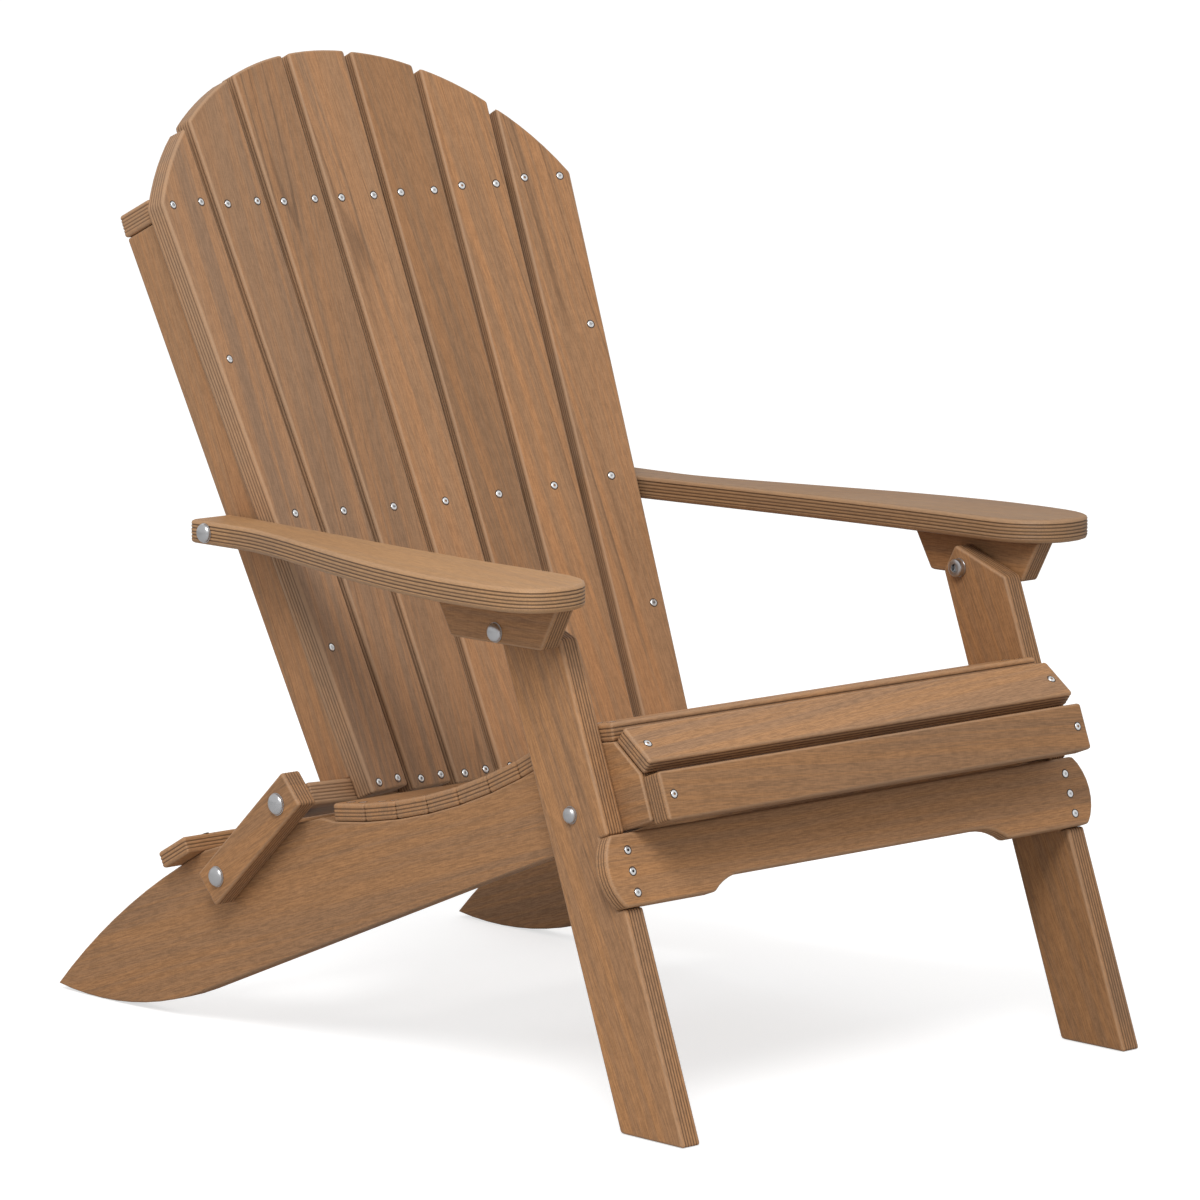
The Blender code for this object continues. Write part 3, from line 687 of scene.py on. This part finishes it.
def boxPlace(nodeName, outward):
    # the middle of the end of a bolt or a nut, its Z pointing out of that end, and the piece's length
    low, high = (Vector(c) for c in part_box(nodeName))
    sign = -outward if (low.x + high.x) < 0 else outward
    place = Matrix.Rotation(sign * math.pi / 2, 4, "Y")
    place.translation = Vector((high.x if sign > 0 else low.x, (low.y + high.y) / 2, (low.z + high.z) / 2))
    return place, high.x - low.x


def boltPiece(nodeName, radius):
    # a smooth head over a flat washer, with its shank, where the CAD bolt stands
    place, length = boxPlace(nodeName, 1)
    proud, shank, washer = boltCut["proud"], boltCut["shank"], radius * boltCut["washer"]
    dome = [math.pi / 2 * i / 9 for i in range(10)]
    profile = [(radius * math.sin(a), -proud * (1 - math.cos(a)) * 0.80) for a in dome]
    profile += [(radius, -proud * 0.84), (washer, -proud * 0.86), (washer, -proud), (shank, -proud),
                (shank, -length), (0.0, -length)]
    bm = bmesh.new()
    turnedShell(bm, profile, boltCut["steps"], place)
    finishPiece(bm, nodeName + "Head", bodyOf[nodeName], steel, (nodeName,), 35)


def nutPiece(nodeName, radius):
    # a round flanged nut with a six-sided socket, its top facing the middle of the chair
    place, tall = boxPlace(nodeName, -1)
    flange, edge = radius * boltCut["washer"], boltCut["washerThick"] - tall
    profile = [(flange, -tall), (flange, edge), (radius, edge), (radius, -0.0016), (radius * 0.96, -0.0005),
               (radius * 0.86, 0.0), (radius * 0.50, 0.0), (radius * 0.50, -tall * 0.45)]
    bm = bmesh.new()
    layer = bm.verts.layers.float.new("metalShadeMask")
    rings = [ringOf(bm, r, h, boltCut["nutSteps"], place) for r, h in profile]
    side = math.pi / 6   # half of one side of the socket
    for verts, _ in rings[-2:]:
        reshapeRing(verts, place, lambda angle: math.cos(side) / math.cos(angle % (2 * side) - side))
    # painted shade down the socket
    shadeRing(rings[-2][0], layer, 0.3)
    shadeRing(rings[-1][0], layer, 1.0)
    closeRings(bm, rings)
    finishPiece(bm, nodeName + "Cap", bodyOf[nodeName], steel, (nodeName,), 35)


def middleOf(nodeName):
    low, high = (Vector(c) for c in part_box(nodeName))
    return (low + high) / 2


def pairsOver(nodeName, apart):
    # two screws into each stringer, straight down through a seat board
    y = middleOf(nodeName).y
    spots = [(side * screwSpots["stringer"], y + d, 1.0) for side in (-1, 1) for d in (-apart, apart)]
    return surfacePlaces(nodeName, spots, (0, 0, -1))


def makeScrews():
    count = screwGroup("slatScrew", "back", slatScrews())
    tops = []
    for i in range(1, 10):
        tops += pairsOver(f"seat_slat_{i}", screwSpots["seatPair"])
    tops += pairsOver("rear_cross_board", screwSpots["crossPair"])
    count += screwGroup("seatScrew", "seat_frame", tops, rise=screwCut["lowRise"])
    x, back = screwSpots["nosing"]
    y = back + chair["frontFoot"]
    tops = surfacePlaces("seat_nosing", [(side * x, y, 1.0) for side in (-1, 1)], (0, 0, -1))
    x, up = screwSpots["fascia"]
    tops += surfacePlaces("seat_fascia", [(side * x, -1.0, up) for side in (-1, 1)], (0, 1, 0))
    count += screwGroup("noseScrew", "seat_frame", tops)
    ahead = Vector((0.0, -math.cos(chair["legTilt"]), math.sin(chair["legTilt"])))
    apronNodes = sorted(n for n in nodes if "apron_screw" in n)
    tops = surfacePlaces("apron", [middleOf(n) + ahead * 0.1 for n in apronNodes], -ahead, plug=True)
    count += screwGroup("apronScrew", "front_legs", tops, apronNodes)
    print("screws:", count)


def makeBolts():
    for side in ("left", "right"):
        for name, radius in boltCut["heads"].items():
            boltPiece(f"{side}_{name}_bolt", radius)
        for name in boltCut["nuts"]:
            nutPiece(f"{side}_{name}_nut", boltCut["nutRadius"])
        nodes[f"{side}_arm_rear_insert"].material_slots[0].material = steel
    print("bolts:", 2 * len(boltCut["heads"]), "nuts:", 2 * len(boltCut["nuts"]))


makeScrews()
makeBolts()


studio = {
    "floorSize": 60.0,
    "floorPale": (0.53, 0.53, 0.53, 1.0),
    "floorDim": (0.50, 0.50, 0.50, 1.0),
    "floorGlow": 0.66,       # the floor's own light, which only the camera sees
    "sky": 0.71,             # the light that falls on the chair from all round
    "skySeen": 1.05,         # the least that the camera sees of it
    # place, size and watts
    "lamps": {"keyLight": ((-3.3, -2.5, 4.7), 2.6, 230.0), "rimLight": ((1.2, 3.2, 3.6), 2.4, 6.0)},
    "aim": (0.0, 0.0, 0.45),
    "camera": (-4.2994, -4.6431, 1.3734),
    "turn": (math.pi / 2 - 0.1478, 0.0, -0.7505),
    "lens": 190.545,
}


def makeFloor():
    bm = bmesh.new()
    bmesh.ops.create_grid(bm, x_segments=1, y_segments=1, size=studio["floorSize"] / 2)
    mesh = bpy.data.meshes.new("studioFloor")
    bm.to_mesh(mesh)
    bm.free()
    floor = bpy.data.objects.new("studioFloor", mesh)
    floor.location = (0.0, 0.0, -0.0005)   # just under the feet
    bpy.context.scene.collection.objects.link(floor)
    material, shader, w = newMaterial("paleFloor", 0.9, 0.0)
    coords = material.node_tree.nodes.new("ShaderNodeTexCoord").outputs["Object"]
    cloud = w.noise(w.stretch(coords, (0.8, 0.8, 0.8)), detail=1.0)
    w.feed(shader.inputs["Base Color"], w.mix(cloud, studio["floorDim"], studio["floorPale"]))
    shader.inputs["Emission Color"].default_value = (1.0, 1.0, 1.0, 1.0)
    seen = material.node_tree.nodes.new("ShaderNodeLightPath").outputs["Is Camera Ray"]
    w.feed(shader.inputs["Emission Strength"], w.math("MULTIPLY", seen, studio["floorGlow"]))
    mesh.materials.append(material)


def makeLight():
    world = bpy.data.worlds.new("studioWorld")
    world.use_nodes = True
    w = Wiring(world.node_tree)
    background = world.node_tree.nodes["Background"]
    background.inputs["Color"].default_value = (1.0, 1.0, 1.0, 1.0)
    seen = world.node_tree.nodes.new("ShaderNodeLightPath").outputs["Is Camera Ray"]
    behind = w.math("MULTIPLY", seen, studio["skySeen"])
    w.feed(background.inputs["Strength"], w.math("MAXIMUM", behind, studio["sky"]))
    bpy.context.scene.world = world
    for name, (spot, size, power) in studio["lamps"].items():
        lamp = bpy.data.lights.new(name, "AREA")
        lamp.shape = "DISK"
        lamp.size = size
        lamp.energy = power
        obj = bpy.data.objects.new(name, lamp)
        obj.location = spot
        obj.rotation_euler = (Vector(studio["aim"]) - Vector(spot)).to_track_quat("-Z", "Y").to_euler()
        bpy.context.scene.collection.objects.link(obj)


def makeCamera():
    lens = bpy.data.cameras.new("studioCamera")
    lens.lens = studio["lens"]
    lens.sensor_width = 36.0
    lens.clip_end = 200.0
    camera = bpy.data.objects.new("studioCamera", lens)
    camera.location = studio["camera"]
    camera.rotation_euler = studio["turn"]
    bpy.context.scene.collection.objects.link(camera)
    bpy.context.scene.camera = camera
    bpy.context.scene.view_settings.view_transform = "Standard"


makeFloor()
makeLight()
makeCamera()
print("stage: floor, lights and camera")
